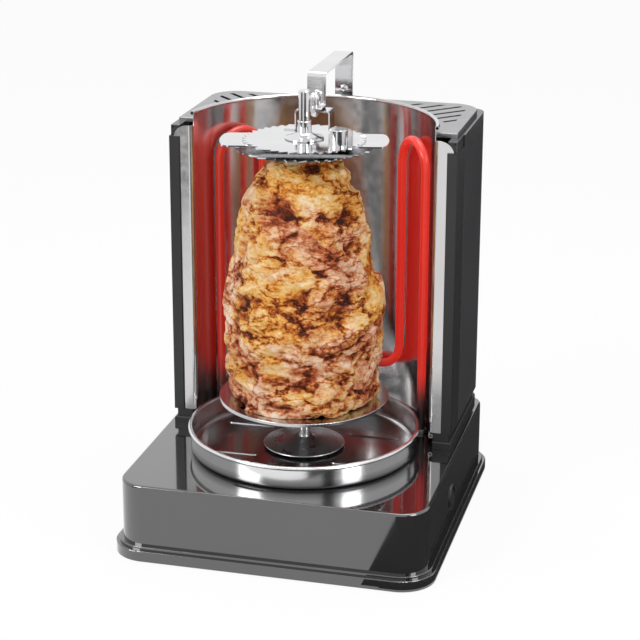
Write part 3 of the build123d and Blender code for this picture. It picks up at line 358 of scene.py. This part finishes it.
def rings(mat, scale, middle):
    """Noise that changes with the distance from an upright axis only, as a turned part's marks do."""
    tree = mat.node_tree
    length = tree.nodes.new("ShaderNodeVectorMath")
    length.operation = "LENGTH"
    wire(tree, own_place(mat, (1, 1, 0), (-middle[0], -middle[1], 0)), length.inputs[0])
    noise_node = tree.nodes.new("ShaderNodeTexNoise")
    noise_node.noise_dimensions = "1D"
    noise_node.inputs["Scale"].default_value = scale
    noise_node.inputs["Detail"].default_value = 3.0
    wire(tree, length.outputs["Value"], noise_node.inputs["W"])
    return noise_node.outputs["Fac"]


for name, shaded_floor, pale in (("drip_tray", 0.30, 0.74), ("meat_plate", 0.58, 0.72)):
    spun_steel = new_finish("spun_" + name, (pale, pale, pale), 0.16, metal=1.0)
    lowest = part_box(name)[0].z
    # Painted shade: the floor's colour is darker than the wall's and rises to the wall's over the wall's foot.
    floor_shade_fade = ramped(spun_steel, along(spun_steel, "Z"), lowest + FLOOR_TOP, lowest + WALL_FOOT)
    tinted(spun_steel, floor_shade_fade, [(0.0, (shaded_floor, shaded_floor, shaded_floor * 1.02)), (1.0, (pale, pale, pale * 1.01))])
    circles = rings(spun_steel, 1400.0, (0, SPIT_Y))
    spread(spun_steel, circles, "Roughness", 0.13, 0.27)
    embossed(spun_steel, circles, 0.000012, 0.6)
    dress(spun_steel, name)
bright_steel = metal("bright_steel", (0.76, 0.76, 0.77), 0.09, 0.08, (1, 1, 14), 0.000006)
satin_steel = metal("satin_steel", (0.56, 0.56, 0.56), 0.30, 0.10, (1, 1, 9), 0.00001)
dress(satin_steel, "drip_cone")
dress(bright_steel, "spit_rod", "lower_disc", "lock_collar", "upper_disc", "handle_bar",
      "lift_knob", "bridge_bracket", "pin_nut", "hanger_arm")

# ------------------------------------------------------------------ screws
# Zinc-plated cross-head screws hold the rear wall and the bottom plate, and a bright, taller
# one the arm. Each is cold-headed: a low dome with a stamped cross. One is made and copied.
SCREW_R, SCREW_H = 0.0038, 0.0013
SEATED, STANDING, ARM_STANDING = 0.2, 0.8, 0.78
REAR_SHANK, UNDER_SHANK, ARM_SHANK = 0.0045, 0.0110, 0.0005
DOME_STEPS, NECK_STEP = ((0.22, 0.16), (0.25, 0.08)), ((0.48, 0.0),)


def cross_head(name, height, shank, places, turn, finish):
    """Screws at places, their heads' crowns along the turned +Z, joined as one piece."""
    bpy.ops.object.select_all(action="DESELECT")
    bpy.ops.mesh.primitive_cylinder_add(vertices=32, radius=SCREW_R, depth=height)
    screw = bpy.context.object
    bpy.ops.object.mode_set(mode="EDIT")
    for side, steps in ((1, DOME_STEPS), (-1, NECK_STEP)):
        work = bmesh.from_edit_mesh(screw.data)
        for face in work.faces:
            face.select = face.normal.z * side > 0.9
        for inward, rise in steps:
            bpy.ops.mesh.inset(thickness=SCREW_R * inward, depth=height * rise)
    bpy.ops.mesh.extrude_region_move(TRANSFORM_OT_translate={"value": (0, 0, -shank)})
    bpy.ops.object.mode_set(mode="OBJECT")
    bpy.ops.mesh.primitive_cube_add(size=1, location=(0, 0, height * 0.75))
    stamp = bpy.context.object
    stamp.scale = (SCREW_R * 1.1, SCREW_R * 0.26, height * 0.9)
    bpy.ops.object.transform_apply(location=True, rotation=True, scale=True)
    for _ in range(2):
        cut = screw.modifiers.new("cross", "BOOLEAN")
        cut.operation, cut.object, cut.solver = "DIFFERENCE", stamp, "EXACT"
        bpy.context.view_layer.objects.active = screw
        bpy.ops.object.modifier_apply(modifier="cross")
        stamp.data.transform(Matrix.Rotation(math.pi / 2, 4, "Z"))
    bpy.data.objects.remove(stamp)
    screw.data.transform(Matrix.Translation((0, 0, -height / 2)))
    copies = []
    for i, place in enumerate(places):
        copy = screw.copy()
        copy.data = screw.data.copy()
        copy.data.transform(Matrix.Translation(place) @ turn @ Matrix.Rotation(0.5 * i, 4, "Z"))
        bpy.context.scene.collection.objects.link(copy)
        copies.append(copy)
    bpy.data.objects.remove(screw)
    bpy.ops.object.select_all(action="DESELECT")
    for copy in copies:
        copy.select_set(True)
    bpy.context.view_layer.objects.active = copies[0]
    if len(copies) > 1:
        bpy.ops.object.join()
    bpy.ops.object.shade_smooth_by_angle(angle=math.radians(35))
    piece = bpy.context.object
    piece.name = name
    piece.data.materials.append(finish)
    return piece


low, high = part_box("casing_screws")
rear_places = [(x, high.y - SCREW_H * SEATED, z) for x in (low.x + SCREW_R, high.x - SCREW_R)
               for z in (low.z + SCREW_R, high.z - SCREW_R)]
rear_screws = cross_head("rear_screws", SCREW_H * STANDING, REAR_SHANK, rear_places,
                         Matrix.Rotation(-math.pi / 2, 4, "X"), zinc)
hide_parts("casing_screws")
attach(rear_screws, "stand")

low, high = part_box("base_screws")
under_places = [(x, y, low.z + SCREW_H * SEATED) for x in (low.x + SCREW_R, high.x - SCREW_R)
                for y in (low.y + SCREW_R, high.y - SCREW_R)]
under_screws = cross_head("under_screws", SCREW_H * STANDING, UNDER_SHANK, under_places,
                          Matrix.Rotation(math.pi, 4, "X"), zinc)
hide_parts("base_screws")
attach(under_screws, "stand")

low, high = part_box("arm_screw")
thick = high.y - low.y
hanger_screw = cross_head("hanger_screw", thick * ARM_STANDING, ARM_SHANK,
                          [(0, low.y + thick * SEATED, (low.z + high.z) / 2)],
                          Matrix.Rotation(math.pi / 2, 4, "X"), bright_steel)
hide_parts("arm_screw")
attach(hanger_screw, "hanger")

# ------------------------------------------------------------------ the guide pin
# A turned steel bolt: a tall domed head with two grip grooves, and a cut thread below it
# that passes the arm's foot and the bridge and takes the nut.
PIN_HEAD, PIN_HEAD_H, GROOVE, GROOVE_DROPS = 0.0040, 0.0126, 0.0005, (0.0058, 0.0082)
DOME = ((0.0, 0.0), (0.0012, 0.00015), (0.0024, 0.0007), (0.0034, 0.0018), (PIN_HEAD, 0.0034))
PIN_THREAD, THREAD_CUT, THREAD_TURNS, HALF_CREST = 0.0025, 0.00035, 14, 0.0002
low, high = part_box("guide_pin")
neck = high.z - PIN_HEAD_H
outline = [(r, high.z - drop) for r, drop in DOME]
for drop in GROOVE_DROPS:
    outline += [(PIN_HEAD, high.z - drop), (PIN_HEAD - GROOVE, high.z - drop - 0.0003),
                (PIN_HEAD - GROOVE, high.z - drop - 0.0009), (PIN_HEAD, high.z - drop - 0.0012)]
outline += [(PIN_HEAD, neck + 0.0004), (PIN_HEAD - 0.0004, neck)]
for i in range(THREAD_TURNS):
    z = neck - (neck - low.z) * (i + 0.5) / THREAD_TURNS
    outline += [(PIN_THREAD, z + HALF_CREST), (PIN_THREAD - THREAD_CUT, z - HALF_CREST)]
outline += [(PIN_THREAD - 0.0006, low.z), (0.0, low.z)]
bolt = bpy.data.meshes.new("guide_bolt")
axis_y = (low.y + high.y) / 2
bolt.from_pydata([(r, axis_y, z) for r, z in outline], [(i, i + 1) for i in range(len(outline) - 1)], [])
guide_bolt = bpy.data.objects.new("guide_bolt", bolt)
bpy.context.scene.collection.objects.link(guide_bolt)
bpy.ops.object.select_all(action="DESELECT")
guide_bolt.select_set(True)
bpy.context.view_layer.objects.active = guide_bolt
bpy.ops.object.mode_set(mode="EDIT")
bpy.ops.mesh.select_all(action="SELECT")
bpy.ops.mesh.spin(steps=36, angle=2 * math.pi, center=(0, axis_y, 0), axis=(0, 0, 1))
bpy.ops.mesh.select_all(action="SELECT")
bpy.ops.mesh.remove_doubles(threshold=0.00002)
bpy.ops.mesh.normals_make_consistent(inside=False)
bpy.ops.object.mode_set(mode="OBJECT")
bpy.ops.object.shade_smooth_by_angle(angle=math.radians(35))
bolt.materials.append(bright_steel)
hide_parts("guide_pin")
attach(guide_bolt, "hanger")

# ------------------------------------------------------------------ the roast
# Thin slices of marinated meat, threaded one over the other and pressed down between plate
# and disc. The heat has browned and charred them in patches and drawn the fat out, and painted
# shade darkens the sunken places and the creases.
ROAST_LOW, ROAST_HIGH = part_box("meat_load")[0].z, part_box("meat_load")[1].z
PROFILE = ((0.0, 66.0), (0.03, 70.6), (0.10, 70.2), (0.17, 69.0), (0.26, 70.6), (0.34, 72.0), (0.42, 69.6),
           (0.50, 66.6), (0.59, 61.0), (0.67, 58.8), (0.72, 57.0), (0.78, 53.2), (0.86, 43.0),
           (0.93, 32.6), (1.0, 22.4))
LAYERS, FLAPS, SCRAPS, HIGHEST_SLICE = 10, 6, 26, 0.97
SLICE_DEEP, DEEP_SPREAD, RECESS_SHADE_DEEP = 0.017, 0.006, 0.006
SCRAP_WIDE, SCRAP_THICK, SCRAP_PROUD = 0.45, 0.6, 0.06
CORE_FOOT, CORE_SINK, FOOT_SHARE, END_GAP = 0.0012, 0.0022, 0.07, 0.0006
VOXEL, SETTLING = 0.0020, 3
LUMPS, CREASES, SHREDS, PROUD, SKIN = 0.0034, 0.0030, 0.0010, 0.0020, 0.0002


def roast_radius(way):
    """The stack's mean radius in metres, at a share of the way up."""
    for (s0, r0), (s1, r1) in zip(PROFILE, PROFILE[1:]):
        if way <= s1:
            t = max(0.0, (way - s0) / (s1 - s0))
            return (r0 + (r1 - r0) * t * t * (3 - 2 * t)) / 1000
    return PROFILE[-1][1] / 1000


def pick(i, salt):
    """A fixed, evenly spread number from 0 to 1 for the i-th slice."""
    return noise.cell(Vector((i * 1.37 + 0.5, salt * 7.1 + 0.5, 3.5)))


bpy.ops.object.select_all(action="DESELECT")
bpy.ops.mesh.primitive_ico_sphere_add(subdivisions=4, radius=1.0)
one_slice = bpy.context.object
slices = []
span = ROAST_HIGH - ROAST_LOW
for i in range(LAYERS * FLAPS + SCRAPS):
    scrap = i >= LAYERS * FLAPS
    layer, flap = (pick(i, 9) * LAYERS, pick(i, 10) * FLAPS) if scrap else divmod(i, FLAPS)
    way = min((layer + 0.5 + 0.7 * (pick(i, 1) - 0.5)) / LAYERS, HIGHEST_SLICE)
    r = roast_radius(way)
    wide = (0.85 + 0.5 * pick(i, 2)) * 2 * math.pi * r / FLAPS * (SCRAP_WIDE if scrap else 1)
    thick = span / LAYERS * (0.75 + 0.7 * pick(i, 3)) * (SCRAP_THICK if scrap else 1)
    deep = SLICE_DEEP + DEEP_SPREAD * pick(i, 4)
    angle = 2 * math.pi * (flap + 0.43 * layer + 0.6 * pick(i, 5)) / FLAPS
    out = r - deep * (1.0 + 0.12 * pick(i, 6) - (SCRAP_PROUD if scrap else 0))
    shape = (Matrix.Translation((out * math.cos(angle), SPIT_Y + out * math.sin(angle), ROAST_LOW + way * span))
             @ Matrix.Rotation(angle, 4, "Z") @ Matrix.Rotation(1.1 * (pick(i, 7) - 0.5), 4, "X")
             @ Matrix.Rotation(0.5 * (pick(i, 8) - 0.4), 4, "Y")
             @ Matrix.Diagonal((deep, wide / 2 * 1.1, thick / 2 * 1.25, 1)))
    lump = one_slice.copy()
    lump.data = one_slice.data.copy()
    lump.data.transform(shape)
    bpy.context.scene.collection.objects.link(lump)
    slices.append(lump)
bpy.data.objects.remove(one_slice)
bpy.ops.mesh.primitive_cylinder_add(vertices=72, radius=1.0, depth=1.0)
core = bpy.context.object
bpy.ops.object.mode_set(mode="EDIT")
work = bmesh.from_edit_mesh(core.data)
for edge in work.edges:
    edge.select = abs(edge.verts[0].co.z - edge.verts[1].co.z) > 0.5
bpy.ops.mesh.subdivide(number_cuts=28)
bpy.ops.object.mode_set(mode="OBJECT")
for v in core.data.vertices:
    way = v.co.z + 0.5
    r = roast_radius(way) - CORE_FOOT - CORE_SINK * min(1.0, way / FOOT_SHARE)
    side = Vector((v.co.x, v.co.y, 0))
    if side.length > 0.5:
        side = side.normalized() * r
    v.co = (side.x, SPIT_Y + side.y, ROAST_LOW + END_GAP + way * (span - 2 * END_GAP))
bpy.ops.object.select_all(action="DESELECT")
for piece in slices:
    piece.select_set(True)
core.select_set(True)
bpy.context.view_layer.objects.active = core
bpy.ops.object.join()
roast = bpy.context.object
roast.name = "roast"
bpy.ops.object.transform_apply(location=True, rotation=True, scale=True)
melt = roast.modifiers.new("melt", "REMESH")
melt.mode, melt.voxel_size, melt.use_smooth_shade = "VOXEL", VOXEL, True
bpy.ops.object.modifier_apply(modifier="melt")
settle = roast.modifiers.new("settle", "SMOOTH")
settle.factor, settle.iterations = 0.5, SETTLING
bpy.ops.object.modifier_apply(modifier="settle")

mesh = roast.data
# An attribute for painted shade in the roast's sunken places and creases.
recess_shades = mesh.attributes.new("recess_shade", "FLOAT", "POINT")
outward = [v.normal.copy() for v in mesh.vertices]
for v in mesh.vertices:
    p = v.co - Vector((0, SPIT_Y, 0))
    side = Vector((p.x, p.y, 0))
    way = (p.z - ROAST_LOW) / span
    mean = roast_radius(min(max(way, 0), 1))
    lumpy = noise.fractal(p * 26 + Vector((3, 1, 7)), 0.9, 2.2, 3)
    crease = 1 - abs(noise.fractal(Vector((p.x * 24, p.y * 24, p.z * 40)) + Vector((9, 2, 4)), 0.8, 2.1, 4)) * 2
    fine = noise.fractal(Vector((p.x * 130, p.y * 130, p.z * 170)), 0.8, 2.3, 4)
    move = LUMPS * lumpy - CREASES * max(crease, 0) ** 4 + SHREDS * fine
    # The attribute set two lines down is a painted-shade mask: low where the surface sits inside the mean radius
    # and along the creases, high on proud lumps.
    depth = (side.length - mean) / RECESS_SHADE_DEEP
    v.co += outward[v.index] * move
    recess_shades.data[v.index].value = min(max(0.5 + 0.35 * depth + 0.25 * lumpy - 0.4 * max(crease, 0) ** 4, 0), 1)
    side = Vector((v.co.x, v.co.y - SPIT_Y, 0))
    limit = mean + PROUD
    if side.length > limit:
        side *= limit / side.length
        v.co.x, v.co.y = side.x, side.y + SPIT_Y
    v.co.z = min(max(v.co.z, ROAST_LOW + SKIN), ROAST_HIGH - SKIN)


def veins(mat, scale, shift, stretch):
    """0 along thin winding lines and rising away from them, as torn fibres and creases run."""
    tree = mat.node_tree
    away = joined(mat, "SUBTRACT", grain(mat, scale, detail=6, shift=shift, stretch=stretch, rough=0.6), 0.5)
    flat = tree.nodes.new("ShaderNodeMath")
    flat.operation = "ABSOLUTE"
    wire(tree, away, flat.inputs[0])
    return flat.outputs[0]


def heaped(mat, *parts):
    """Patterns, each given as (value, low, high, most), brought to 0..most and added up."""
    heap = None
    for value, low, high, most in parts:
        part = ramped(mat, value, low, high, 0.0, most)
        heap = part if heap is None else joined(mat, "ADD", heap, part)
    return heap


roasted = new_finish("roasted", (0.60, 0.30, 0.12), 0.45, Specular_IOR_Level=0.14, Coat_Weight=0.04,
                     Coat_Roughness=0.25, Subsurface_Weight=0.04, Subsurface_Scale=0.002)
shader_of(roasted).inputs["Subsurface Radius"].default_value = (1.0, 0.35, 0.12)
tree = roasted.node_tree
# How far each place is done, with painted shade added in sunken places and creases: 0 is pale and juicy, 1 is
# charred or deep in painted shade.
recess_shade_input = tree.nodes.new("ShaderNodeAttribute")
recess_shade_input.attribute_name = "recess_shade"
broad = grain(roasted, 11.0, detail=5, stretch=(1, 1, 1.3), shift=(2, 7, 3), rough=0.6, swirl=0.8)
patches = grain(roasted, 27.0, detail=9, stretch=(1, 1, 1.5), shift=(4, 2, 1), rough=0.66, swirl=1.2)
shreds = grain(roasted, 70.0, detail=9, stretch=(0.8, 0.8, 1.9), shift=(1, 5, 2), rough=0.72, swirl=1.0)
flecks = grain(roasted, 190.0, detail=6, stretch=(0.9, 0.9, 1.6), shift=(3, 8, 5), rough=0.7, swirl=0.6)
browned = heaped(roasted, (broad, 0.30, 0.70, 0.34), (patches, 0.30, 0.70, 0.78),
                 (shreds, 0.30, 0.70, 0.66), (flecks, 0.30, 0.70, 0.50))
# The attribute's part adds painted shade: it darkens the roast where it sits inside the mean radius and in its
# creases.
done_and_shade = heaped(roasted, (browned, 0.74, 1.70, 0.72),
              (veins(roasted, 15.0, (3, 3, 8), (1, 1, 1.8)), 0.024, 0.0, 0.36),
              (veins(roasted, 36.0, (6, 1, 2), (1, 1, 1.6)), 0.022, 0.0, 0.16),
              (shreds, 0.58, 0.68, 0.34), (recess_shade_input.outputs["Fac"], 0.30, 0.0, 0.40))
golden = coloured(roasted, done_and_shade, [
    (0.0, (0.86, 0.67, 0.42)), (0.20, (0.78, 0.51, 0.22)), (0.36, (0.74, 0.38, 0.075)),
    (0.50, (0.60, 0.21, 0.028)), (0.64, (0.36, 0.074, 0.010)), (0.80, (0.125, 0.019, 0.0035)),
    (1.0, (0.034, 0.008, 0.003))])
rosy = coloured(roasted, done_and_shade, [
    (0.0, (0.86, 0.67, 0.52)), (0.22, (0.76, 0.48, 0.31)), (0.40, (0.62, 0.27, 0.13)),
    (0.54, (0.46, 0.115, 0.036)), (0.68, (0.27, 0.045, 0.012)), (0.84, (0.095, 0.015, 0.0035)),
    (1.0, (0.034, 0.008, 0.003))])
kind = grain(roasted, 13.0, detail=6, stretch=(1, 1, 1.3), shift=(8, 2, 6), rough=0.6, swirl=0.6)
mix = tree.nodes.new("ShaderNodeMix")
mix.data_type = "RGBA"
mix_share, mix_below, mix_above, mix_colour = mix.inputs[0], mix.inputs[6], mix.inputs[7], mix.outputs[2]
wire(tree, ramped(roasted, kind, 0.44, 0.55), mix_share)
wire(tree, rosy, mix_below)
wire(tree, golden, mix_above)
wire(tree, mix_colour, shader_of(roasted).inputs["Base Color"])
spread(roasted, grain(roasted, 60.0, detail=6), "Roughness", 0.30, 0.66)
embossed(roasted, patches, 0.0030, 0.8)
embossed(roasted, shreds, 0.0022, 0.9)
embossed(roasted, flecks, 0.0012, 0.9)
roast.data.materials.clear()
roast.data.materials.append(roasted)
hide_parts("meat_load")
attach(roast, "spit")
